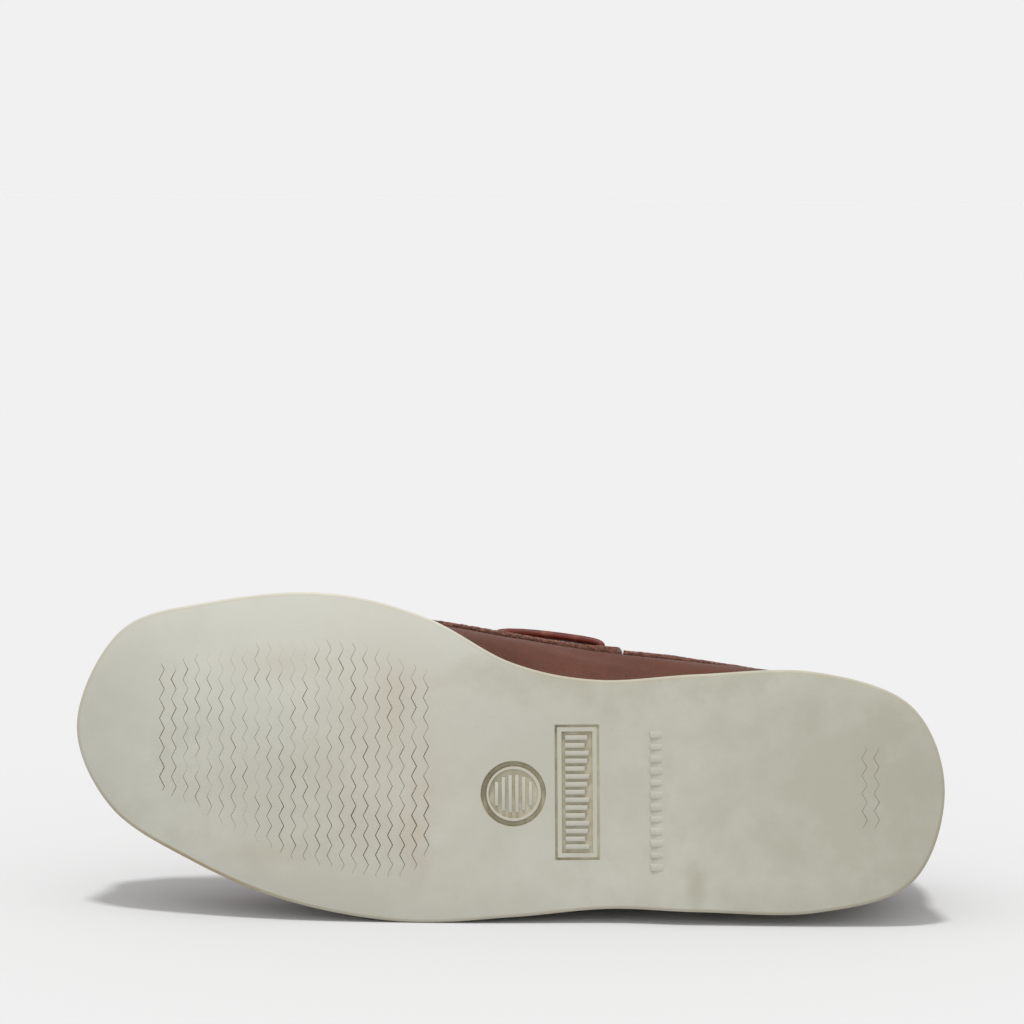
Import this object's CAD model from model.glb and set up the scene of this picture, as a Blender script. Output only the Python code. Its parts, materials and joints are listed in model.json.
import functools
import json
import math
import random

import bmesh
import bpy
from mathutils import Matrix, Vector, noise


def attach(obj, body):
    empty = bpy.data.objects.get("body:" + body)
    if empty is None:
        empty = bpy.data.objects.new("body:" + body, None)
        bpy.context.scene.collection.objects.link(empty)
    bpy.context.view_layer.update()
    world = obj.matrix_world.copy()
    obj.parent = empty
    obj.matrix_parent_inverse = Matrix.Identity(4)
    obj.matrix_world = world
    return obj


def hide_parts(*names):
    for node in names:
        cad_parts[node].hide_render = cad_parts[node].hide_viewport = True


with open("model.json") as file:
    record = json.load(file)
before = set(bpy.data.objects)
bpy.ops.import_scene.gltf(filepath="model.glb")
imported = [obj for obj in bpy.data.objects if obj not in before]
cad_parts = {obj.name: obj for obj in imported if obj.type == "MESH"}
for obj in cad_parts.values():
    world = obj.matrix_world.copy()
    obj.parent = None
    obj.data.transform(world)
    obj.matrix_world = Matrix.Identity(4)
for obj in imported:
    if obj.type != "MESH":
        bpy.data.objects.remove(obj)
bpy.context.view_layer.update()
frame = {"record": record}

scene = bpy.context.scene
mm = 0.001

# The shoe's own frame, from its two tread mounts: x to the toe, y to the inner side, z up from the tread.
mounts = {mount["name"]: mount for mount in frame["record"]["mounts"]}
heelMountX = 50
heelPoint = Vector(mounts["tread_heel"]["pos_m"])
toeward = (Vector(mounts["tread_forefoot"]["pos_m"]) - heelPoint).normalized()
upward = -Vector(mounts["tread_heel"]["axis"]).normalized()
inward = upward.cross(toeward).normalized()
toeward = inward.cross(upward)
shoeMatrix = Matrix((toeward, inward, upward)).transposed().to_4x4()
shoeMatrix.translation = heelPoint - toeward * heelMountX * mm
random.seed(7)

# Camera: square to the tread, far off, aimed above the shoe. Angles in degrees, distance and clipEnd in m, rest in mm.
view = {
    "lens": 120, "sensor": 36, "distance": 1.19, "elevation": 9.6, "azimuth": 0.6, "roll": 0.55,
    "sole": (151.5, 13.5, 3), "above": 85.1, "aside": 0.7, "clipEnd": 200,
}
soleCentre = shoeMatrix @ (Vector(view["sole"]) * mm)
elevation = math.radians(view["elevation"])
azimuth = math.radians(view["azimuth"])
level = math.cos(elevation)
away = Vector((math.sin(azimuth) * level, -math.cos(azimuth) * level, math.sin(elevation)))
cameraUp = (Vector((0, 0, 1)) - away * away.z).normalized()
cameraData = bpy.data.cameras.new("camera")
cameraData.lens = view["lens"]
cameraData.sensor_width = view["sensor"]
cameraData.clip_end = view["clipEnd"]
camera = bpy.data.objects.new("camera", cameraData)
scene.collection.objects.link(camera)
camera.location = soleCentre + away * view["distance"]
aim = soleCentre + (cameraUp * view["above"] + cameraUp.cross(away) * view["aside"]) * mm
facing = (aim - camera.location).to_track_quat("-Z", "Y").to_matrix()
camera.rotation_euler = (facing @ Matrix.Rotation(math.radians(view["roll"]), 3, "Z")).to_euler()
scene.camera = camera
scene.view_settings.view_transform = "Standard"
print("camera set")

# The last: the places round the shoe that part.mjs has, and the same curves through them.
# tread: the sole's outline. flare: how far its side wall leans in. belly: the upper's widest line.
# edge: its upper edge, which is the collar, the throat and then the apron's seam.
placeColumns = ("tread", "flare", "belly", "edge")
placeRows = [
    ((0, 1), 3, (4, 1, 42), (11, 1, 80)),
    ((11.5, 30.4), 3, (14, 25.5, 40), (19, 16.5, 79)),
    ((45, 42.2), 3, (45, 40.2, 39), (47, 27.5, 70)),
    ((85, 41.6), 2, (85, 45.6, 40), (84, 32.5, 62)),
    ((120, 39.8), 0.5, (119, 49.4, 41), (117, 36, 63)),
    ((150, 46), 0.8, (149, 54.6, 40), (147, 26, 80)),
    ((180, 62), 2.5, (180, 60, 36), (179, 24, 71)),
    ((215, 70.6), 3, (214, 64, 33), (212, 49, 55)),
    ((255, 67.8), 3, (253, 61.5, 34), (248, 50, 50)),
    ((287, 58), 3, (282, 51, 37), (272, 41, 50)),
    ((303, 26), 3, (298, 25, 39), (283, 22.5, 51)),
    ((291, -3.5), 3, (287, 0, 37), (274, 4, 49)),
    ((262, -22.3), 3, (259, -17, 33), (250, -8, 48)),
    ((228, -36.3), 3, (226, -30.5, 31), (216, -16, 51)),
    ((188, -43.6), 3, (187, -34.8, 32), (181, -2, 69)),
    ((150, -42.2), 3, (151, -32.6, 36), (149, -6, 78)),
    ((117, -39.6), 3, (118, -30.8, 37), (118, -25, 60)),
    ((85, -40.8), 3.8, (84, -32, 38), (84, -23.5, 60)),
    ((45, -41.2), 3.9, (45, -32.5, 39), (47, -23, 69)),
    ((11.5, -30.8), 3.6, (14, -23.5, 40), (19, -14, 79)),
]
places = {}
for column, values in zip(placeColumns, zip(*placeRows)):
    places[column] = values if column == "flare" else [Vector(value) for value in values]
around = len(placeRows)
throat = 6
toe = around // 2
# How the tread rises: a toe spring from springFrom to the tip, and a shank lifted between breast and heel.
treadShape = {"springFrom": 205, "tip": 303, "spring": 13, "breast": 89, "ramp": 113, "shank": 168, "lift": 1.8}
wallShape = {"heel": 24, "fore": 16, "cup": 6, "rim": 2.4, "gap": 0.3, "foot": 0.16, "belly": 0.5}
leatherShape = {"upper": 2.2, "overlay": 1.7, "overlayGap": 0.45, "crown": 0.12}
overlayTop = leatherShape["overlay"] + leatherShape["overlayGap"]


def mix(a, b, t):
    return a + (b - a) * t


def smooth(x, low, high):
    t = min(1, max(0, (x - low) / (high - low)))
    return t * t * (3 - 2 * t)


# The smooth curve through four points, between the middle two.
def through(a, b, c, d, t):
    return (b * 2 + (c - a) * t + (a * 2 - b * 5 + c * 4 - d) * t * t + (b * 3 - a - c * 3 + d) * t ** 3) / 2


@functools.lru_cache(maxsize=None)
def along(column, place):
    i = math.floor(place)
    return through(*[places[column][(i + k) % around] for k in (-1, 0, 1, 2)], place - i)


def springHeight(x):
    reach = (x - treadShape["springFrom"]) / (treadShape["tip"] - treadShape["springFrom"])
    return treadShape["spring"] * max(0, reach) ** 2


def treadHeight(x):
    shank = smooth(x, treadShape["breast"], treadShape["ramp"])
    return springHeight(x) + treadShape["lift"] * shank * (1 - smooth(x, treadShape["ramp"], treadShape["shank"]))


def rimHeight(x):
    return springHeight(x) + mix(wallShape["heel"], wallShape["fore"], smooth(x, 55, 185))


def inset(place, distance, height):
    edge = along("tread", place)
    line = (along("tread", place + 0.02) - along("tread", place - 0.02)).normalized()
    x = edge.x + line.y * distance
    return Vector((x, edge.y - line.x * distance, height(x)))


# A curve from a to b, pulled towards the control point.
def bend(a, control, b, t):
    return a * (1 - t) ** 2 + control * 2 * t * (1 - t) + b * t * t


def wallPoint(place, v):
    distance = along("flare", place) + wallShape["rim"] + wallShape["gap"]
    rim = inset(place, distance, rimHeight)
    rim.z += wallShape["gap"]
    if v <= wallShape["foot"]:
        return rim - Vector((0, 0, wallShape["cup"] * (1 - v / wallShape["foot"])))
    belly = along("belly", place)
    edge = along("edge", place)
    middle = wallShape["belly"]
    if v <= middle:
        lower = Vector((belly.x, belly.y, mix(rim.z, belly.z, 0.45)))
        return bend(rim, lower, belly, (v - wallShape["foot"]) / (middle - wallShape["foot"]))
    higher = Vector((belly.x, belly.y, mix(belly.z, edge.z, 0.62)))
    return bend(belly, higher, edge, (v - middle) / (1 - middle))


def wallNormal(place, v):
    step = 0.01
    across = wallPoint(place + step, v) - wallPoint(place - step, v)
    up = wallPoint(place, min(1, v + step)) - wallPoint(place, v - step)
    return up.cross(across).normalized()


def offWall(place, v, out):
    return wallPoint(place, v) + wallNormal(place, v) * out


def apronPoint(place, across):
    inner = along("edge", place)
    outer = along("edge", around - place)
    crown = leatherShape["crown"] * (inner - outer).length * (1 - (2 * across - 1) ** 2)
    return inner.lerp(outer, across) + Vector((0, 0, crown))


# Materials. Each kind of node: its type, the output that is used, its inputs in the order they are given, its settings.
nodeKinds = {
    "coordinates": ("TexCoord", "Object", (), {}),
    "uvMap": ("UVMap", "UV", (), {"uv_map": "length"}),
    "place": ("Mapping", "Vector", ("Vector", "Location", "Rotation", "Scale"), {"vector_type": "TEXTURE"}),
    "stretch": ("Mapping", "Vector", ("Vector", "Scale"), {}),
    "length": ("VectorMath", "Value", (0,), {"operation": "LENGTH"}),
    "noise": ("TexNoise", "Fac", ("Vector", "Scale", "Detail", "Roughness", "Distortion"), {}),
    "cells": ("TexVoronoi", "Distance", ("Vector", "Scale"), {"feature": "DISTANCE_TO_EDGE"}),
    "dots": ("TexVoronoi", "Distance", ("Vector", "Scale"), {"feature": "F1"}),
    "twist": ("TexWave", "Fac", ("Vector", "Scale", "Distortion"), {"bands_direction": "DIAGONAL"}),
    "range": ("MapRange", "Result", ("Value", "From Min", "From Max", "To Min", "To Max"), {}),
    "blend": ("Mix", 2, (0, 6, 7), {"data_type": "RGBA"}),
    "times": ("Math", 0, (0, 1), {"operation": "MULTIPLY"}),
    "plus": ("Math", 0, (0, 1), {"operation": "ADD"}),
    "bump": ("Bump", "Normal", ("Height", "Distance", "Strength", "Normal"), {}),
}


# A colour's sRGB hex code as linear red, green, blue and alpha.
def linear(code):
    parts = [int(code[i:i + 2], 16) / 255 for i in (1, 3, 5)]
    return [part / 12.92 if part <= 0.04045 else ((part + 0.055) / 1.055) ** 2.4 for part in parts] + [1]


# A pattern's scale, from how many mm one of its features takes.
def per(size):
    return 1 / (size * mm)


def setInputs(tree, node, inputs):
    for name, value in inputs.items():
        if isinstance(value, bpy.types.NodeSocket):
            tree.links.new(value, node.inputs[name])
        else:
            node.inputs[name].default_value = linear(value) if isinstance(value, str) else value


def addNode(tree, kind, *values):
    nodeType, output, inputs, settings = nodeKinds[kind]
    node = tree.nodes.new("ShaderNode" + nodeType)
    for name, value in settings.items():
        setattr(node, name, value)
    setInputs(tree, node, dict(zip(inputs, values)))
    return node.outputs[output]


# A new material, what adds nodes to it, and Object coordinates turned into the shoe's own frame, in metres.
def material(name):
    made = bpy.data.materials.new(name)
    made.use_nodes = True
    add = functools.partial(addNode, made.node_tree)
    return made, add, add("place", add("coordinates"), shoeMatrix.translation, shoeMatrix.to_euler())


def coat(made, inputs):
    setInputs(made.node_tree, made.node_tree.nodes["Principled BSDF"], inputs)
    return made


# A soft patch with an uneven edge, 1 at its middle and 0 past its radii, all in mm in the shoe's frame.
def patch(add, local, centre, radii, ragged):
    placed = add("place", local, Vector(centre) * mm, (0, 0, 0), Vector(radii) * mm)
    return add("range", add("plus", add("length", placed), ragged), 1, 0.2)


# Where the sole has lightened, darkened or picked up dirt: a patch's centre and radii in mm, its strength and colour.
soleMarks = [
    ((220, 62, 0), (95, 36, 60), 0.6, "#d0cfc4"),
    ((30, 0, 0), (95, 95, 60), 0.9, "#a9a898"),
    ((2, -6, 5), (34, 60, 40), 0.45, "#9f9c8c"),
    ((303, 0, 10), (48, 70, 40), 0.75, "#acaba0"),
    ((215, -34, 0), (95, 36, 40), 0.55, "#aba89b"),
    ((238, 2, 0), (48, 30, 40), 0.5, "#adab9e"),
    ((132, 6, 0), (60, 60, 60), 0.55, "#b1ad9f"),
    ((112, 42, 0), (62, 13, 40), 0.7, "#a5a18f"),
    ((195, 14, 0), (36, 62, 40), 0.25, "#b5a894"),
    ((183, -10, 0), (8, 20, 40), 0.24, "#ad9d84"),
    ((190, 34, 0), (9, 16, 40), 0.22, "#b2a48b"),
    ((230, 46, 2), (22, 8, 40), 0.2, "#b5a791"),
    ((232, -20, 2), (16, 5, 40), 0.24, "#a89d84"),
    ((86.5, -32, 0), (5, 11, 40), 0.3, "#9b8e76"),
    ((26, 8, 0), (7, 24, 40), 0.18, "#aa9f8a"),
]
outerToe = ((262, -22, 5), (60, 30, 40))


# Moulded rubber: a pale stone colour, dull, mottled, and stained where it has walked. A rubbed edge is scuffed brown.
def soleRubber(name, rubbed):
    made, add, local = material(name)
    cloud = add("noise", local, per(45.45), 4, 0.6)
    ragged = add("times", add("plus", add("noise", local, per(16.67), 4, 0.65), -0.5), 1.1)
    colour = add("blend", add("range", cloud, 0.3, 0.7), "#bdbcaf", "#c0bfb4")
    faded = add("range", add("noise", local, per(14.29), 3), 0.4, 0.75, 0, 0.2)
    colour = add("blend", faded, colour, "#b4b3a8")
    for centre, radii, strength, code in soleMarks:
        stain = add("times", patch(add, local, centre, radii, ragged), strength)
        colour = add("blend", stain, colour, code)
    if rubbed:
        scuff = add("times", patch(add, local, *outerToe, ragged), 0.5)
        brown = add("plus", add("range", cloud, 0.3, 0.7, 0.1, 0.3), scuff)
        colour = add("blend", brown, colour, "#958357")
    specks = add("range", add("noise", local, per(1.111), 2), 0.7, 0.77, 0, 0.2)  # grit, drawn coarse enough to show
    pitted = add("bump", add("noise", local, per(3.846), 3, 0.6), 0.06 * mm, 0.5)
    return coat(made, {
        "Base Color": add("blend", specks, colour, "#8a846e"),
        "IOR": 1.5,
        "Roughness": add("range", cloud, 0.3, 0.7, 0.62, 0.74),
        "Normal": add("bump", add("noise", local, per(0.6667), 2), 0.03 * mm, 0.5, pitted),
    })


# The same rubber down in a groove, where dirt stays.
def grooveRubber(name, code, dark):
    made, add, local = material(name)
    dirt = add("noise", local, per(5.556), 4, 0.6)
    return coat(made, {
        "Base Color": add("blend", add("range", dirt, 0.35, 0.7), code, dark),
        "Roughness": 0.8,
        "Normal": add("bump", dirt, 0.08 * mm, 0.5),
    })


# Oiled leather: a tight pebble grain of about 1 mm, a soft drift of colour and a dull wax shine. Its pores are drawn
# larger than real ones, to show.
def oiledLeather(name, code, darkCode, lightCode, rough):
    made, add, local = material(name)
    drift = add("noise", local, per(38.46), 4, 0.6)
    small = add("noise", local, per(3.125), 4, 0.6)
    pebble = add("cells", local, per(1.111))
    pores = add("range", add("dots", local, per(0.6667)), 0.05, 0.3)
    colour = add("blend", add("range", drift, 0.3, 0.7), darkCode, code)
    colour = add("blend", add("range", small, 0.5, 0.8, 0, 0.45), colour, lightCode)
    height = add("plus", add("range", pebble, 0, 0.2), add("times", pores, 0.5))
    grained = add("bump", height, 0.09 * mm, 0.7)
    return coat(made, {
        "Base Color": add("blend", add("range", pebble, 0, 0.12, 0.35, 0), colour, darkCode),
        "Roughness": add("range", small, 0.3, 0.7, rough - 0.07, rough + 0.09),
        "IOR": 1.48,
        "Specular IOR Level": 0.2,
        "Normal": add("bump", add("noise", local, per(11.11), 3), 0.35 * mm, 0.5, grained),
    })


# Cut leather: the raw side of a piece, pale, dull and fibrous.
def rawEdge():
    made, add, local = material("raw_edge")
    fibre = add("noise", local, per(0.7692), 5, 0.7, 0.4)
    clump = add("noise", local, per(2.381), 3, 0.6)
    colour = add("blend", add("range", fibre, 0.38, 0.62), "#45241a", "#8c5a46")
    return coat(made, {
        "Base Color": add("blend", add("range", clump, 0.5, 0.68, 0, 0.75), colour, "#2b1a15"),
        "Roughness": 0.92,
        "Sheen Weight": 0.35,
        "Normal": add("bump", add("plus", fibre, clump), 0.35 * mm, 0.9),
    })


# Lining leather: undyed, smooth and dull, a little darker where the foot rubs.
def liningLeather(name, code, darkCode):
    made, add, local = material(name)
    pores = add("cells", local, per(0.9091))
    drift = add("range", add("noise", local, per(28.57), 4, 0.65), 0.35, 0.7)
    colour = add("blend", drift, code, darkCode)
    return coat(made, {
        "Base Color": add("blend", add("range", pores, 0, 0.1, 0.3, 0), colour, darkCode),
        "Roughness": 0.72,
        "Normal": add("bump", pores, 0.07 * mm, 0.6),
    })


# Waxed leather lace: a soft shine, and streaks 17 mm long and 1 mm wide along its length.
def laceLeather():
    made, add, local = material("lace_leather")
    streak = add("noise", add("stretch", add("uvMap"), (per(16.67), per(1.111), 1)), 1, 4, 0.6)
    colour = add("blend", add("range", streak, 0.35, 0.7), "#45140c", "#762e1f")
    worn = add("range", add("noise", local, per(4.167), 3), 0.5, 0.75, 0, 0.4)
    return coat(made, {
        "Base Color": add("blend", worn, colour, "#8b5540"),
        "Roughness": 0.45,
        "IOR": 1.48,
        "Specular IOR Level": 0.25,
        "Normal": add("bump", streak, 0.12 * mm, 0.6),
    })


# Waxed thread: its plies' twist shows as a fine slant, one turn in 0.86 mm across, which is as fine as can show.
def waxedThread(name, code, darkCode):
    made, add, local = material(name)
    twist = add("twist", local, math.tau / (10 * math.sqrt(3) * 0.8637 * mm), 1.5)
    fuzz = add("noise", local, per(1.111), 3)
    colour = add("blend", twist, darkCode, code)
    return coat(made, {
        "Base Color": add("blend", add("range", fuzz, 0.5, 0.8, 0, 0.5), colour, darkCode),
        "Roughness": 0.6,
        "Normal": add("bump", twist, 0.12 * mm, 0.8),
    })


# Antique brass: dulled and browned away from where it rubs.
def antiqueBrass():
    made, add, local = material("antique_brass")
    tarnish = add("noise", local, per(2.632), 4, 0.6)
    return coat(made, {
        "Base Color": add("blend", add("range", tarnish, 0.35, 0.7), "#b08a55", "#5b4327"),
        "Metallic": 1,
        "Roughness": add("range", tarnish, 0.3, 0.7, 0.28, 0.5),
        "Normal": add("bump", tarnish, 0.05 * mm, 0.4),
    })


rubber = soleRubber("sole_rubber", False)
edgeRubber = soleRubber("sole_edge_rubber", True)
grooveFace = grooveRubber("groove_rubber", "#b9b4a0", "#a49c83")
sipeFace = grooveRubber("sipe_rubber", "#aaa188", "#7f7259")
vampLeather = oiledLeather("vamp_leather", "#613525", "#4b2719", "#744431", 0.52)
overlayLeather = oiledLeather("overlay_leather", "#59271c", "#411911", "#71382a", 0.44)
tongueLeather = oiledLeather("tongue_leather", "#613526", "#4b271b", "#754533", 0.56)
cutEdge = rawEdge()
lining = liningLeather("lining_leather", "#a67c57", "#8a6343")
sockLeather = liningLeather("sock_leather", "#b18a63", "#94704c")
thong = laceLeather()
seamThread = waxedThread("seam_thread", "#d8cbb2", "#a4947a")
soleThread = waxedThread("sole_thread", "#e2dccb", "#b3ab98")
brass = antiqueBrass()
# Painted floor: pale and dull.
floorPaint = coat(material("studio_floor")[0], {"Base Color": "#cbcbcb", "Roughness": 0.9, "Specular IOR Level": 0.1})
print("materials made")


# Building: sheets set point by point in the shoe's frame, in mm, then moved into the scene's.
toScene = shoeMatrix @ Matrix.Scale(mm, 4)


# A grid whose points come from its two shares. materialAt picks a face's material from the same shares.
def grid(columns, rows, pointAt, materialAt=None):
    made = bmesh.new()
    made.loops.layers.uv.new("length")
    bmesh.ops.create_grid(made, x_segments=columns, y_segments=rows, size=1, calc_uvs=True)
    if materialAt:
        for face in made.faces:
            middle = face.calc_center_median()
            face.material_index = materialAt((middle.x + 1) / 2, (middle.y + 1) / 2)
    for vert in made.verts:
        vert.co = pointAt((vert.co.x + 1) / 2, (vert.co.y + 1) / 2)
    return made


def gather(*parts):
    whole, rest = parts[0], parts[1:]
    for part in rest:
        data = bpy.data.meshes.new("gathered")
        part.to_mesh(data)
        part.free()
        whole.from_mesh(data)
        bpy.data.meshes.remove(data)
    return whole


def faceOut(made):
    made.normal_update()
    bmesh.ops.recalc_face_normals(made, faces=made.faces)
    return made


def weld(made, reach=0.01):
    bmesh.ops.remove_doubles(made, verts=made.verts, dist=reach)
    bmesh.ops.dissolve_degenerate(made, dist=reach / 10, edges=made.edges)
    return faceOut(made)


def fillHoles(made):
    bmesh.ops.holes_fill(made, edges=[edge for edge in made.edges if edge.is_boundary])
    return faceOut(made)


# An outline of radii and heights spun round the z axis.
def spun(outline, steps):
    made = bmesh.new()
    corners = [made.verts.new((radius, 0, height)) for radius, height in outline]
    edges = [made.edges.new(pair) for pair in zip(corners, corners[1:] + corners[:1])]
    bmesh.ops.spin(
        made, geom=corners + edges, cent=(0, 0, 0), axis=(0, 0, 1), angle=math.tau, steps=steps, use_merge=True
    )
    return made


def addObject(name, made, materials):
    data = bpy.data.meshes.new(name)
    made.to_mesh(data)
    made.free()
    for item in materials:
        data.materials.append(item)
    piece = bpy.data.objects.new(name, data)
    scene.collection.objects.link(piece)
    return piece


# Smooth shading, but for edges sharper than an angle in degrees.
def shade(data, sharp):
    data.shade_smooth()
    data.set_sharp_from_angle(angle=math.radians(sharp))


def finish(name, made, materials, stands=(), sharp=35):
    made.transform(toScene)
    piece = addObject(name, made, materials)
    shade(piece.data, sharp)
    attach(piece, "root")
    if stands:
        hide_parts(*stands)
    return piece


# The piece with its modifiers made part of its mesh.
def settle(piece, sharp=35):
    seen = piece.evaluated_get(bpy.context.evaluated_depsgraph_get())
    data = bpy.data.meshes.new_from_object(seen)
    piece.modifiers.clear()
    old = piece.data
    piece.data = data
    bpy.data.meshes.remove(old)
    data.name = piece.name
    shade(data, sharp)
    return piece


def cutAway(piece, cutter, cutMaterial):
    faceOut(cutter).transform(toScene)
    tool = addObject("cutter", cutter, [cutMaterial])
    hole = piece.modifiers.new("holes", "BOOLEAN")
    hole.operation = "DIFFERENCE"
    hole.solver = "MANIFOLD"
    hole.material_mode = "TRANSFER"
    hole.object = tool
    settle(piece)
    bpy.data.objects.remove(tool)
    return piece


# A sheet gets its thickness inwards, with its second material inside and its third on the cut edge.
def thicken(piece, thickness):
    solid = piece.modifiers.new("thickness", "SOLIDIFY")
    solid.thickness = thickness * mm
    solid.offset = -1
    solid.material_offset = 1
    solid.material_offset_rim = 2
    return settle(piece, 50)


# A smooth run of points through the given ones.
def spine(points, steps):
    count = len(points) - 1
    made = []
    for i in range(steps + 1):
        place = count * i / steps
        k = min(count - 1, int(place))
        made.append(through(*[points[min(count, max(0, k + j))] for j in (-1, 0, 1, 2)], place - k))
    return made


# A tube along points, each with its own up. section gives its outline's offset, sideways and up, from two shares.
def sweep(points, ups, section, sides):
    steps = len(points) - 1
    stations = []
    length = 0
    for i, point in enumerate(points):
        line = (points[min(steps, i + 1)] - points[max(0, i - 1)]).normalized()
        side = line.cross(ups[i]).normalized()
        stations.append((point, side, side.cross(line)))
        length += (point - points[max(0, i - 1)]).length * mm

    def pointAt(u, v):
        point, side, up = stations[round(u * steps)]
        out, rise = section(u, v % 1)
        return point + side * out + up * rise

    made = grid(steps, sides, pointAt)
    layer = made.loops.layers.uv["length"]
    for face in made.faces:
        for loop in face.loops:
            loop[layer].uv = (loop[layer].uv.x * length, loop[layer].uv.y * 0.01)
    bmesh.ops.remove_doubles(made, verts=made.verts, dist=0.001)
    return weld(fillHoles(made), 0.001)


# Stitches: small drops of thread, pitch apart along a line of points with their ups.
threadLean = 0.09
threadDrift = 0.04


def stitch(points, ups, pitch, size, lift=0):
    whole = bmesh.new()
    run = 0
    for a, b, up in zip(points, points[1:], ups):
        step = (b - a).length
        while run < step:
            line = (b - a).normalized()
            side = line.cross(up).normalized()
            turned = Matrix((line, side, line.cross(side))).transposed().to_4x4()
            turned.translation = a + line * run + up * lift
            lean = Matrix.Rotation(random.uniform(-threadLean, threadLean), 4, "Z")
            drop = turned @ lean @ Matrix.Diagonal((*size, 1))
            bmesh.ops.create_uvsphere(whole, u_segments=8, v_segments=5, radius=1, matrix=drop)
            run += pitch * random.uniform(1 - threadDrift, 1 + threadDrift)
        run -= step
    return whole


# The outline's rings, round the sole or the insole. Each goes in from the outline by a share of the flare plus mm, and
# its height is a share of the way from the tread to the rim plus mm.
def ringHeight(ring, x):
    return mix(treadHeight(x), rimHeight(x), ring[2]) + ring[3]


def ringPoint(ring, place):
    return inset(place, along("flare", place) * ring[0] + ring[1], lambda x: ringHeight(ring, x))


def ribPoint(ring):
    def pointAt(u, v):
        point = ringPoint(ring, toe * u).lerp(ringPoint(ring, around - toe * u), v)
        if 0 < v < 1:
            point.z = ringHeight(ring, point.x)
        return point
    return pointAt


# A closed body: a wall through the rings, and ribs across its first and last.
def ringBody(rings, columns, across, materialAt=None):
    rows = len(rings) - 1
    wall = grid(columns * around, rows, lambda u, v: ringPoint(rings[round(v * rows)], around * u), materialAt)
    ends = [grid(columns * toe, across, ribPoint(ring)) for ring in (rings[0], rings[-1])]
    return weld(gather(wall, *ends))


# Outsole: one rubber unit, with sipes across the forefoot, and a badge and a frame left blank in the shank.
outsoleSizes = {"edge": 1.2, "rimRound": 0.5, "columns": 16, "across": 8, "edgeRows": 4}
sipes = {"first": 179.8, "pitch": 4.2, "count": 23, "wave": 6.8, "reach": 0.88, "wide": 0.3, "deep": 0.55}
heelSipes = {"first": 23.7, "pitch": 4.2, "count": 2, "wave": 6.1, "reach": 0.9, "wide": 0.16, "deep": 0.25}
# Where the sipes reach: x, and their outer and inner ends.
sipeField = [
    (180, -21, 43.6),
    (186, -28, 46.5),
    (198, -27.8, 52),
    (211, -25.4, 54.4),
    (227, -21.3, 54.4),
    (249, -11, 51.5),
    (261, -3.5, 49),
    (274, 3.2, 45.8),
]
heelField = [(0, -12, 16)]
ringGroove = {"x": 149.5, "y": 0.5, "outer": 11.3, "inner": 9.6, "deep": 1.9, "disc": 8.6, "sunk": 0.7}
panel = {"x": 127.4, "y": 0.9, "long": 46.9, "wide": 15.5, "groove": 0.9, "border": 2.4, "deep": 0.6, "floor": 0.8}


def endsAt(field, x):
    for a, b in zip(field, field[1:]):
        if x <= b[0]:
            share = (x - a[0]) / (b[0] - a[0])
            return mix(a[1], b[1], share), mix(a[2], b[2], share)
    return field[-1][1:]


# One zigzag slot across the tread as a closed solid, nearly shut in places and tapering out at both ends. It is worn
# wider towards the outer side, the ball and the toe.
def zigzag(x, start, stop, shape):
    step = shape["wave"] / 10
    first, steps = round(start / step), round((stop - start) / step)

    def pointAt(u, v):
        corner = round(v * 4) % 4
        y = (first + steps * u) * step
        swing = 2 * abs(2 * ((y / shape["wave"]) % 1) - 1) - 1
        worn = 0.3 + 0.35 * smooth(y, 24, -16) + 0.3 * smooth(x, 236, 192) + 0.6 * smooth(x, 262, 272)
        broad = noise.noise(Vector((x * 0.09, y * 0.045, 3)))
        fine = noise.noise(Vector((x * 0.9, y * 0.16, 8)))
        opened = min(1.4, max(0.14, worn + 0.5 * broad + 0.6 * fine))
        half = shape["wide"] / 2 * opened * min(1, 0.35 + 6 * u, 0.35 + 6 * (1 - u))
        side = 1 if corner in (1, 2) else -1
        up = shape["deep"] if corner > 1 else -2
        return Vector((x + shape["reach"] * swing + side * half, y, treadHeight(x) + up))

    made = grid(steps, 4, pointAt)
    bmesh.ops.remove_doubles(made, verts=made.verts, dist=0.0005)
    return fillHoles(made)


def sipeRow(shape, field):
    xs = [shape["first"] + i * shape["pitch"] for i in range(shape["count"])]
    return [zigzag(x, *endsAt(field, x), shape) for x in xs]


def block(x, y, z, size):
    made = bmesh.new()
    bmesh.ops.create_cube(made, size=1, matrix=Matrix.Translation((x, y, z)) @ Matrix.Diagonal((*size, 1)))
    return made


# The badge's round recess and the ring groove round it.
def badgeCutters():
    x, y, deep, sunk = (ringGroove[key] for key in ("x", "y", "deep", "sunk"))
    inner, outer, disc = (ringGroove[key] for key in ("inner", "outer", "disc"))
    top = treadHeight(x)
    groove = spun([(inner - 0.3, -0.5), (outer + 0.2, -0.5), (outer - 0.3, deep), (inner + 0.2, deep)], 72)
    groove.transform(Matrix.Translation((x, y, top)))
    bmesh.ops.remove_doubles(groove, verts=groove.verts, dist=0.001)
    recess = bmesh.new()
    bmesh.ops.create_cone(
        recess, cap_ends=True, segments=64, radius1=disc + 0.3, radius2=disc - 0.2, depth=1 + sunk,
        matrix=Matrix.Translation((x, y, top - 0.5 + sunk / 2)),
    )
    return [groove, recess]


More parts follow.
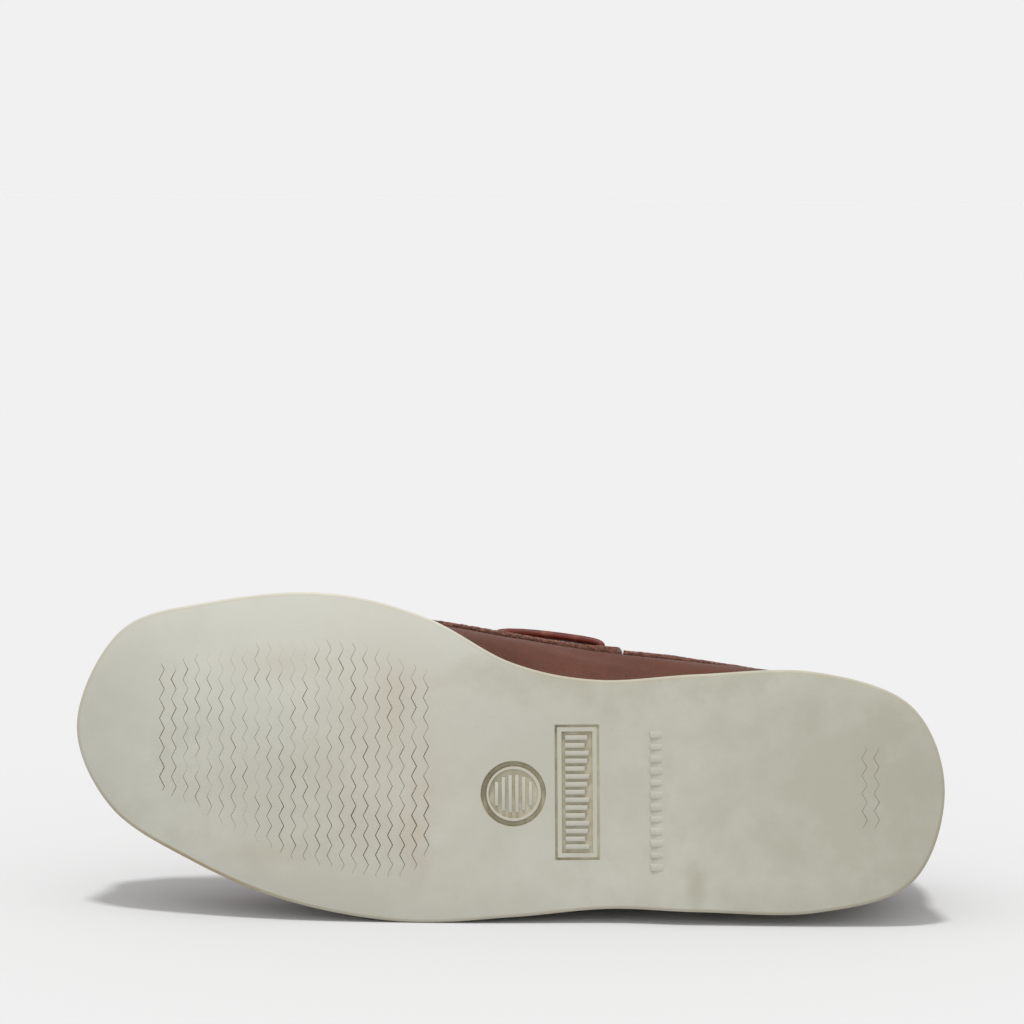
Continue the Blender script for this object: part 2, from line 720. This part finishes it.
# The frame's four grooves, and the recess inside its border.
def frameCutters():
    x, y, long, wide, line = (panel[key] for key in ("x", "y", "long", "wide", "groove"))
    below = treadHeight(x) - 2
    high, inside = 2 + panel["deep"], 2 + panel["floor"]
    cutters = []
    for side in (-1, 1):
        upright = (line, long - 0.002, high)
        level = (wide - 2 * line - 0.01, line, high)
        cutters.append(block(x + side * (wide - line) / 2, y, below + high / 2, upright))
        cutters.append(block(x, y + side * (long - line) / 2, below + high / 2, level))
    recess = (wide - 2 * panel["border"], long - 2 * panel["border"], inside)
    cutters.append(block(x, y, below + inside / 2, recess))
    return cutters


def buildOutsole():
    edge, soft = outsoleSizes["edge"], outsoleSizes["rimRound"]
    rim, cup = wallShape["rim"], wallShape["cup"]
    rings = [
        (0, edge, 0, 0),
        (0, edge * 0.62, 0, edge * 0.08),
        (0, edge * 0.29, 0, edge * 0.3),
        (0, edge * 0.08, 0, edge * 0.62),
        (0, 0, 0, edge),
        (0.12, 0, 0.2, 0),
        (0.3, 0, 0.38, 0),
        (0.5, 0, 0.55, 0),
        (0.7, 0.1, 1, -5.2),  # a groove round the wall
        (0.75, 0.75, 1, -4.9),
        (0.78, 0.75, 1, -4.2),
        (0.82, 0.1, 1, -3.9),
        (1, 0, 1, -0.9),
        (1, 0.25, 1, -0.3),
        (1, 0.8, 1, 0),
        (1, rim - soft, 1, 0),
        (1, rim, 1, -soft),
        (1, rim, 1, -cup),
    ]
    rubbedRows = outsoleSizes["edgeRows"] / (len(rings) - 1)
    made = ringBody(rings, outsoleSizes["columns"], outsoleSizes["across"], lambda u, v: 3 if v < rubbedRows else 0)
    piece = finish("outsole_visual", made, [rubber, grooveFace, sipeFace, edgeRubber], ["outsole"])
    cutAway(piece, gather(*sipeRow(sipes, sipeField), *sipeRow(heelSipes, heelField)), sipeFace)
    for cutter in badgeCutters() + frameCutters():
        cutAway(piece, cutter, grooveFace)
    return piece


# Plain raised bars stand in the blank badge and in the frame, and a row of plain pads behind them.
bars = {"frameCount": 15, "frameWide": 8.4, "badgeCount": 6, "badgePitch": 2.35, "badgeWide": 1.25, "round": 0.22}
pads = {"count": 12, "x": 99.9, "from": -25.3, "to": 20.6, "long": 4.3, "wide": 2.5, "high": 0.6}


def buildTreadBars():
    raised = []
    top = treadHeight(panel["x"]) + panel["floor"]
    room = (panel["long"] - 2 * panel["border"] - 1.6) / bars["frameCount"]
    for i in range(bars["frameCount"]):
        y = panel["y"] + (i - (bars["frameCount"] - 1) / 2) * room
        wide = bars["frameWide"] * (1, 0.82, 0.93)[i % 3]
        raised.append(block(panel["x"] + (bars["frameWide"] - wide) / 2, y, top - 0.25, (wide, room - 1, 1.1)))
    for i in range(bars["badgeCount"]):
        away = (i - (bars["badgeCount"] - 1) / 2) * bars["badgePitch"]
        x = ringGroove["x"] + away
        reach = math.sqrt((ringGroove["disc"] - 1) ** 2 - away ** 2)
        size = (bars["badgeWide"], 2 * reach * 0.86, 0.9)
        raised.append(block(x, ringGroove["y"], treadHeight(x) + ringGroove["sunk"] - 0.3, size))
    for i in range(pads["count"]):
        y = mix(pads["from"], pads["to"], i / (pads["count"] - 1))
        size = (pads["long"], pads["wide"] - 0.5 * (i % 3 == 1), pads["high"])
        raised.append(block(pads["x"], y, treadHeight(pads["x"]) + 0.02, size))
    made = faceOut(gather(*raised))
    bmesh.ops.bevel(
        made, geom=made.edges, offset=bars["round"], segments=2, affect="EDGES", profile=0.5, material=-1
    )
    return finish("tread_bars", made, [rubber])


buildOutsole()
buildTreadBars()
print("outsole built")

# Insole: a sock with a soft edge, on the cup's floor.
insoleSizes = {"gap": 0.3, "thick": 3, "columns": 8, "across": 14}


def buildInsole():
    clear = wallShape["rim"] + insoleSizes["gap"] * 3 + leatherShape["upper"]
    base = insoleSizes["gap"] - wallShape["cup"]
    top = base + insoleSizes["thick"]
    rings = [(1, clear, 1, base), (1, clear, 1, top - 0.8), (1, clear + 0.3, 1, top - 0.25), (1, clear + 1, 1, top)]
    made = ringBody(rings, insoleSizes["columns"], insoleSizes["across"])
    return finish("insole_visual", made, [sockLeather], ["insole"])


buildInsole()
print("insole built")

# Eyelets: where they sit on the wall, each side's named as in part.mjs.
eyeletSizes = {"bore": 2.4, "barrel": 2.9, "flange": 4.2, "hole": 3.05, "proud": 0.8}
eyeletPlaces = {
    "throat_front": (5.86, 0.9),
    "throat_back": (5.3, 0.9),
    "side_front": (5.26, 0.68),
    "side_back": (3.98, 0.69),
    "collar_front": (2.75, 0.88),
    "collar_back": (1.85, 0.88),
}
eyelets = {}
for name, (place, v) in eyeletPlaces.items():
    eyelets[name + "_inner"] = (place, v)
    eyelets[name + "_outer"] = (around - place, v)


def onAxis(name, out):
    return offWall(*eyelets[name], out)


def eyeletMatrix(name):
    turned = wallNormal(*eyelets[name]).to_track_quat("Z", "Y").to_matrix().to_4x4()
    turned.translation = onAxis(name, 0)
    return turned


def eyeletHoles(names):
    made = bmesh.new()
    radius = eyeletSizes["hole"]
    for name in names:
        bmesh.ops.create_cone(
            made, cap_ends=True, segments=28, radius1=radius, radius2=radius, depth=20, matrix=eyeletMatrix(name)
        )
    return made


# Upper: one wall round the shoe, closed over the toe by the apron.
upperSizes = {"columns": 12, "rows": 32, "across": 24}
# Flex creases: each one's two ends, as place and height on the wall or apron, and its trough's depth and width in mm.
wallCreases = [
    ((6.45, 0.42), (6.75, 0.86), 0.9, 2.6),
    ((6.95, 0.36), (7.2, 0.84), 1.1, 3),
    ((7.45, 0.5), (7.6, 0.8), 0.5, 2.2),
    ((13.5, 0.4), (13.3, 0.84), 0.9, 2.6),
    ((13.05, 0.36), (12.85, 0.82), 0.7, 2.4),
    ((3.2, 0.3), (4.6, 0.42), 0.6, 3.4),
    ((16.4, 0.32), (15.2, 0.44), 0.6, 3.4),
]
apronCreases = [
    ((6.75, 0.08), (6.55, 0.9), 0.9, 2.8),
    ((7.2, 0.12), (6.95, 0.85), 0.7, 2.4),
    ((7.7, 0.2), (7.5, 0.7), 0.35, 2.2),
]


def trough(point, creases):
    depth = 0
    for a, b, deep, wide in creases:
        share = (point - a).dot(b - a) / (b - a).length_squared
        if share < -0.2 or share > 1.2:
            continue
        away = (point - a.lerp(b, share)).length
        wobble = away + 1.2 * noise.noise(point * 0.07)
        fade = smooth(share, -0.15, 0.3) * (1 - smooth(share, 0.7, 1.15))
        pit = math.exp(-((wobble / wide) ** 2))
        ridge = math.exp(-(((wobble - 2.1 * wide) / wide) ** 2))
        depth += deep * fade * (pit - 0.4 * ridge)
    return depth


wallCreases = [(wallPoint(*a), wallPoint(*b), deep, wide) for a, b, deep, wide in wallCreases]
apronCreases = [(apronPoint(*a), apronPoint(*b), deep, wide) for a, b, deep, wide in apronCreases]


def upperPoint(u, v):
    place = around * u
    point = wallPoint(place, v)
    soft = smooth(v, 0.2, 0.34) * (1 - smooth(v, 0.86, 0.97))
    if soft <= 0:
        return point
    slack = 0.45 * noise.noise(point * 0.045) + 0.18 * noise.noise(point * 0.16)
    return point + wallNormal(place, v) * soft * (slack * 0.6 - trough(point, wallCreases))


def apronSkin(u, v):
    place = mix(throat, toe, u)
    point = apronPoint(place, v)
    soft = smooth(v, 0, 0.14) * (1 - smooth(v, 0.86, 1)) * (1 - smooth(u, 0.82, 1))
    slack = 0.5 * noise.noise(point * 0.04) + 0.2 * noise.noise(point * 0.15)
    return point + Vector((0, 0, soft * (slack * 0.7 - trough(point, apronCreases))))


def buildUpper():
    columns = upperSizes["columns"]
    wall = grid(columns * around, upperSizes["rows"], upperPoint)
    apron = grid(columns * (toe - throat), upperSizes["across"], apronSkin)
    made = weld(gather(wall, apron))
    piece = finish("upper_visual", made, [vampLeather, lining, cutEdge], ["upper"], 40)
    thicken(piece, leatherShape["upper"])
    return cutAway(piece, eyeletHoles(eyelets), cutEdge)


buildUpper()
print("upper built")

# Overlays: leather laid on the upper, each with a raw fibrous edge.
# Its edge goes down in rows: how far out past the outline, in mm, and the share of the thickness that it has dropped.
edgeRows = [
    (0, 1),
    (0.2, 0.7),
    (0.18, 0.36),
    (-0.08, 0.06),
    (-0.7, 0),
]
overlaySizes = {"under": 0.08, "fuzz": 0.24}
eyestay = {
    "back": 3.76, "tail": 0.027, "front": 6.3, "low": 0.55, "columns": 120, "rows": 44, "length": 92, "height": 22,
    "curl": {"inner": 0.9, "outer": 0},
}
collar = {"front": 3.73, "low": 0.74, "frontLow": 0.56, "columns": 260, "rows": 24, "length": 240, "height": 12}
counter = {"front": 1.7, "low": 0.2, "high": 0.7, "columns": 140, "rows": 30, "length": 108, "height": 30}


# Where a share lands once the edge rows at both ends are set aside, and how far down the edge it is.
def edgeShare(share, count, length):
    rows = len(edgeRows)
    i = round(share * count)
    near = min(i, count - i)
    if near >= rows:
        within = -edgeRows[-1][0] / length
        return mix(within, 1 - within, (i - rows + 1) / (count - 2 * rows + 2)), 0
    out, drop = edgeRows[near]
    return (-out / length if i < count - i else 1 + out / length), drop


# placeAt gives place and height on the wall from two shares. The low corner at the start can curl off the leather.
def overlay(name, shape, placeAt, holes, stands, curl=0):
    columns, rows = shape["columns"], shape["rows"]
    under = overlaySizes["under"]

    def lid(u, v):
        s, dropU = edgeShare(u, columns, shape["length"])
        t, dropV = edgeShare(v, rows, shape["height"])
        drop = max(dropU, dropV)
        place, height = placeAt(min(1, max(0, s)), t)
        lifted = curl * math.exp(-((s * shape["length"] / 13) ** 2) - (t * shape["height"] / 6) ** 2)
        point = offWall(place, min(1, height), mix(overlayTop + lifted, under, drop))
        if height > 1:
            point += (wallPoint(place, 1) - wallPoint(place, 0.97)).normalized() * 0.15
        if drop:
            point += noise.noise_vector(point * 1.7) * overlaySizes["fuzz"] * (1 if drop < 1 else 0.3)
        else:
            point += wallNormal(place, min(1, height)) * 0.12 * noise.noise(point * 0.12)
        return point

    def edged(u, v):
        near = min(u * columns, (1 - u) * columns, v * rows, (1 - v) * rows)
        return 1 if near < len(edgeRows) - 1.2 else 0

    def underside(u, v):
        place, height = placeAt(u, v)
        return offWall(place, min(1, height), under)

    top = grid(columns, rows, lid, edged)
    bmesh.ops.remove_doubles(top, verts=top.verts, dist=0.002)
    bottom = grid(columns, rows, underside)
    rim = [vert for vert in top.verts if vert.is_boundary]
    for vert in [vert for vert in bottom.verts if vert.is_boundary]:
        vert.co = min(rim, key=lambda other: (other.co - vert.co).length_squared).co
    made = fillHoles(weld(gather(top, bottom), 0.004))
    piece = finish(name, made, [overlayLeather, cutEdge, lining], stands, 50)
    if holes:
        cutAway(piece, eyeletHoles(holes), cutEdge)
    return piece


# The eyestay's lower line runs level and turns up at both ends, most sharply at the back.
def stayPlace(side):
    def placeAt(u, v):
        turnUp = abs(2 * u - 1) ** (80 if u < 0.5 else 30)
        place = mix(eyestay["back"] - eyestay["tail"], eyestay["front"], u)
        low = mix(eyestay["low"], 0.93, turnUp)
        return (place if side == "inner" else around - place), mix(low, 1, v)
    return placeAt


def collarPlace(u, v):
    low = mix(collar["low"], collar["frontLow"], smooth(abs(2 * u - 1), 0.5, 0.95))
    return mix(-collar["front"], collar["front"], u), mix(low, 1, v)


def counterPlace(u, v):
    top = mix(counter["low"] + 0.06, counter["high"], 1 - abs(2 * u - 1) ** 2.4)
    return mix(-counter["front"], counter["front"], u), mix(counter["low"], top, v)


for side in ("inner", "outer"):
    holes = [name for name in eyelets if name.endswith(side) and not name.startswith("collar")]
    overlay("eyestay_visual_" + side, eyestay, stayPlace(side), holes, ["eyestay_" + side], eyestay["curl"][side])
collarHoles = [name for name in eyelets if name.startswith("collar")]
overlay("collar_visual", collar, collarPlace, collarHoles, ["collar_band"])
overlay("counter_visual", counter, counterPlace, [], ["heel_counter"])
print("overlays built")

# Moccasin seam: a puckered ridge where the wall meets the apron, sewn over with thick thread.
seam = {"wide": 1.5, "high": 1.5, "pitch": 5.2, "thread": 0.55, "steps": 300, "loopWide": 1.75, "loopHigh": 1.85}


def buildSeam():
    stops = [mix(throat - 0.1, around - throat + 0.1, i / seam["steps"]) for i in range(seam["steps"] + 1)]
    points = [along("edge", place) for place in stops]
    ups = [(wallNormal(place, 0.99) * 0.55 + Vector((0, 0, 1))).normalized() for place in stops]
    run = [0]
    for a, b in zip(points, points[1:]):
        run.append(run[-1] + (b - a).length)

    def section(u, v):
        swell = 0.5 - 0.5 * math.cos(math.tau * run[round(u * seam["steps"])] / seam["pitch"])
        ends = min(1, 12 * u + 0.25, 12 * (1 - u) + 0.25)
        turn = math.tau * v
        size = (0.78 + 0.3 * swell) * ends
        return math.cos(turn) * seam["wide"] * size, math.sin(turn) * seam["high"] * size

    finish("moc_ridge", sweep(points, ups, section, 14), [vampLeather])
    return points, ups, run


def threadSection(u, v):
    turn = math.tau * v
    return math.cos(turn) * seam["thread"], math.sin(turn) * seam["thread"]


# One loop of thread over the ridge at each dip between its puckers.
def buildSeamThread(points, ups, run):
    whole = bmesh.new()
    target = seam["pitch"] * 0.5
    for i in range(1, len(points) - 1):
        if run[i] < target:
            continue
        target += seam["pitch"]
        line = (points[i + 1] - points[i - 1]).normalized()
        side = line.cross(ups[i]).normalized()
        up = side.cross(line)
        loop = []
        for step in range(9):
            turn = math.pi * step / 8
            out, rise = math.cos(turn) * seam["loopWide"], math.sin(turn) * seam["loopHigh"] - 0.35
            loop.append(points[i] + side * out + up * rise + line * 0.5 * math.cos(turn))
        whole = gather(whole, sweep(loop, [line] * 9, threadSection, 8))
    return finish("moc_stitches", whole, [seamThread])


buildSeamThread(*buildSeam())
print("moccasin seam sewn")

# Tongue, under the throat.
tongueSizes = {"thick": 2.4, "columns": 64, "rows": 32}
# Its middle, half its width and how far its sides drop, from its front to its top.
tongueRows = [
    ((200, 13, 57.5), 18, 4),
    ((182, 11.5, 64.5), 21, 6),
    ((164, 10.5, 70.5), 21, 7),
    ((149, 10, 76.5), 18, 6),
    ((139, 9.8, 83), 15.6, 4.5),
    ((130, 9.5, 89), 19, 5),
    ((122, 9.5, 93.5), 18, 4),
    ((118.5, 9.5, 95.5), 11, 1.5),
]
tongueMiddles = spine([Vector(middle) for middle, half, drop in tongueRows], tongueSizes["columns"])
tongueWidths = spine([Vector((half, drop, 0)) for middle, half, drop in tongueRows], tongueSizes["columns"])


def tonguePoint(u, v):
    i = min(tongueSizes["columns"] - 1, int(u * tongueSizes["columns"]))
    t = u * tongueSizes["columns"] - i
    wide = tongueWidths[i].lerp(tongueWidths[i + 1], t)
    side = 2 * v - 1
    point = tongueMiddles[i].lerp(tongueMiddles[i + 1], t) + Vector((0, side * wide.x, -wide.y * side * side))
    return point + Vector((0, 0, 0.35 * noise.noise(point * 0.11)))


def buildTongue():
    made = weld(grid(tongueSizes["columns"], tongueSizes["rows"], tonguePoint))
    if sum(face.normal.z for face in made.faces) < 0:
        bmesh.ops.reverse_faces(made, faces=made.faces)
    piece = finish("tongue_visual", made, [tongueLeather, lining, cutEdge], ["tongue"], 50)
    return thicken(piece, tongueSizes["thick"])


buildTongue()
print("tongue built")


# Eyelets: rolled brass, spun round their own axis.
def buildEyelets():
    bore, barrel, flange = eyeletSizes["bore"], eyeletSizes["barrel"], eyeletSizes["flange"]
    outside = overlayTop + 0.05
    top = overlayTop + eyeletSizes["proud"]
    inside = -leatherShape["upper"] - 0.1
    outline = [
        (bore, inside - 0.7), (bore, top - 0.5), (bore + 0.12, top - 0.15), (bore + 0.5, top),
        (flange - 0.9, top - 0.05), (flange - 0.3, top - 0.3), (flange, outside + 0.1), (flange - 0.1, outside),
        (barrel, outside), (barrel, inside), (flange - 0.6, inside), (flange - 0.5, inside - 0.35),
        (barrel + 0.2, inside - 0.8),
    ]
    whole = bmesh.new()
    for name in eyelets:
        one = spun(outline, 32)
        one.transform(eyeletMatrix(name))
        whole = gather(whole, weld(one, 0.001))
    nodes = ["eyelet_" + name for name in eyelets]
    return finish("eyelets", whole, [brass], nodes, 60)


buildEyelets()
print("eyelets spun")

# Lace: a leather thong, out of one eyelet and into the next. clear keeps it off the flanges.
lace = {
    "wide": 3.3, "high": 2.7, "squareness": 3.2, "clear": 0.3, "half": 1.4, "slack": {"inner": 3.3, "outer": 0.6},
    "steps": 60, "throatSteps": 260, "sides": 20,
}
flangeTop = overlayTop + eyeletSizes["proud"]
overFlange = flangeTop + lace["high"] / 2 + lace["clear"] + 0.2


def laceSection(u, v):
    turn = math.tau * v
    c, s = math.cos(turn), math.sin(turn)
    square = lace["squareness"]
    reach = (abs(c) ** square + abs(s) ** square) ** (-1 / square) / 2
    wax = 1 + 0.03 * noise.noise(Vector((u * 37, v * 3, 1)))
    return c * reach * lace["wide"] * wax, s * reach * lace["high"] * wax


def layLace(name, points, ups, stands):
    made = sweep(points, ups, laceSection, lace["sides"])
    return finish("lace_visual_" + name, made, [thong], stands, 60)


def laceAlong(run, side):
    a, b = run + "_front_" + side, run + "_back_" + side
    middle = [mix(atA, atB, 0.42) for atA, atB in zip(eyelets[a], eyelets[b])]
    over = lace["slack"][side] if run == "side" else lace["slack"]["outer"]
    crest = offWall(*middle, overlayTop + over + lace["half"])
    high = flangeTop + lace["half"] + lace["clear"] + 0.25 * (1 + over)
    shoulderA = onAxis(a, high).lerp(onAxis(b, high), 0.08)
    shoulderB = onAxis(b, high).lerp(onAxis(a, high), 0.08)
    knots = [onAxis(a, -1), onAxis(a, flangeTop), shoulderA, crest, shoulderB, onAxis(b, flangeTop), onAxis(b, -1)]
    sideways = wallNormal(*middle).cross(onAxis(b, 0) - onAxis(a, 0)).normalized()
    steps = lace["steps"]
    points = spine(knots, steps)
    ups = []
    for i in range(steps + 1):
        line = points[min(steps, i + 1)] - points[max(0, i - 1)]
        ups.append(sideways.cross(line).normalized())
    return layLace(run + "_" + side, points, ups, ["lace_" + run + "_" + side])


# The throat's length: out at one back eyelet, across the tongue, over the front bar, and back across.
crossing = {"point": (164, 10.5), "low": 73.9, "high": 76.6, "under": 2.4, "barRise": 3.5}


def buildThroatLace():
    def half(side, other, crossHeight):
        front, back = "throat_front_" + side, "throat_back_" + other
        place = eyelets[front][0]
        edge = wallPoint(place, 1) + wallNormal(place, 0.97) * (overFlange + 0.3)
        shoulder = onAxis(front, overFlange + 0.4).lerp(edge, 0.25)
        under = -leatherShape["upper"] - crossing["under"]
        cross = Vector((*crossing["point"], crossHeight))
        return [
            onAxis(back, flangeTop + 0.6), onAxis(back, -1), onAxis(back, under).lerp(cross, 0.12), cross,
            onAxis(front, under).lerp(cross, 0.12), onAxis(front, -1), onAxis(front, flangeTop), shoulder, edge,
        ]

    first = half("inner", "outer", crossing["low"])
    second = half("outer", "inner", crossing["high"])
    crest = onAxis("throat_front_inner", flangeTop).lerp(onAxis("throat_front_outer", flangeTop), 0.5)
    crest.z += crossing["barRise"]
    steps = lace["throatSteps"]
    points = spine(first + [crest] + second[::-1], steps)
    ups = [Vector((1, 0, 0))]
    for i in range(1, steps + 1):
        line = (points[min(steps, i + 1)] - points[i - 1]).normalized()
        ups.append((ups[-1] - line * ups[-1].dot(line)).normalized())
    return layLace("throat", points, ups, ["lace_throat_bar", "lace_throat_cross"])


for side in ("inner", "outer"):
    for run in ("side", "collar"):
        laceAlong(run, side)
buildThroatLace()
print("lace run through the eyelets")

# Stitching: fine thread on the overlays and the tongue, thick thread round the sole's rim. size holds half sizes.
fineThread = {"pitch": 2.7, "size": (1.05, 0.34, 0.34)}
rimThread = {"pitch": 5, "size": (1.9, 0.5, 0.5), "in": 1.25, "lift": 0.05, "steps": 600}


# A line of stitches on an overlay, at one share of its height, stopping short of its ends.
def wallLine(placeAt, short, near, steps):
    points = []
    ups = []
    for i in range(steps + 1):
        place, v = placeAt(mix(short, 1 - short, i / steps), near)
        points.append(offWall(place, v, overlayTop))
        ups.append(wallNormal(place, v))
    return points, ups


# Up one side of the tongue, across its top and down the other side.
def tongueLine():
    corners = [(0.3, 0.09), (0.94, 0.09), (0.94, 0.91), (0.3, 0.91)]
    points = []
    ups = []
    for (fromU, fromV), (toU, toV) in zip(corners, corners[1:]):
        for i in range(60):
            u, v = mix(fromU, toU, i / 60), mix(fromV, toV, i / 60)
            point = tonguePoint(u, v)
            points.append(point)
            ups.append((tonguePoint(u, v + 0.02) - point).cross(tonguePoint(u + 0.02, v) - point).normalized())
    if sum(up.z for up in ups) < 0:
        ups = [-up for up in ups]
    return points, ups


def buildStitching():
    rows = [tongueLine()]
    for side in ("inner", "outer"):
        rows += [wallLine(stayPlace(side), 0.03, near, 160) for near in (0.1, 0.2, 0.93)]
    rows += [wallLine(collarPlace, 0.01, near, 300) for near in (0.12, 0.88)]
    rows += [wallLine(counterPlace, 0.04, near, 200) for near in (0.9, 0.82)]
    whole = gather(*[stitch(points, ups, fineThread["pitch"], fineThread["size"]) for points, ups in rows])
    finish("seam_stitches", whole, [seamThread])

    steps = rimThread["steps"]
    stops = [around * i / steps for i in range(steps + 1)]
    points = [inset(place, along("flare", place) + rimThread["in"], rimHeight) for place in stops]
    upright = [Vector((0, 0, 1))] * steps
    whole = stitch(points, upright, rimThread["pitch"], rimThread["size"], rimThread["lift"])
    return finish("rim_stitches", whole, [soleThread])


buildStitching()
print("stitching sewn")

# Floor and light: a plain pale floor under an even sky, with a soft key from above and in front. softness is in
# degrees, and floor is the floor's radius in m.
light = {"world": 0.88, "sun": 1.87, "softness": 8, "from": (-0.05, -0.16, 1), "floor": 60}
floorMesh = bmesh.new()
bmesh.ops.create_circle(floorMesh, cap_ends=True, radius=light["floor"], segments=64)
floor = addObject("floor", floorMesh, [floorPaint])

world = bpy.data.worlds.new("studio")
world.use_nodes = True
scene.world = world
world.node_tree.nodes["Background"].inputs["Color"].default_value = (light["world"],) * 3 + (1,)

sunData = bpy.data.lights.new("key", "SUN")
sunData.energy = light["sun"]
sunData.angle = math.radians(light["softness"])
sun = bpy.data.objects.new("key", sunData)
scene.collection.objects.link(sun)
sun.rotation_euler = Vector(light["from"]).to_track_quat("Z", "Y").to_euler()
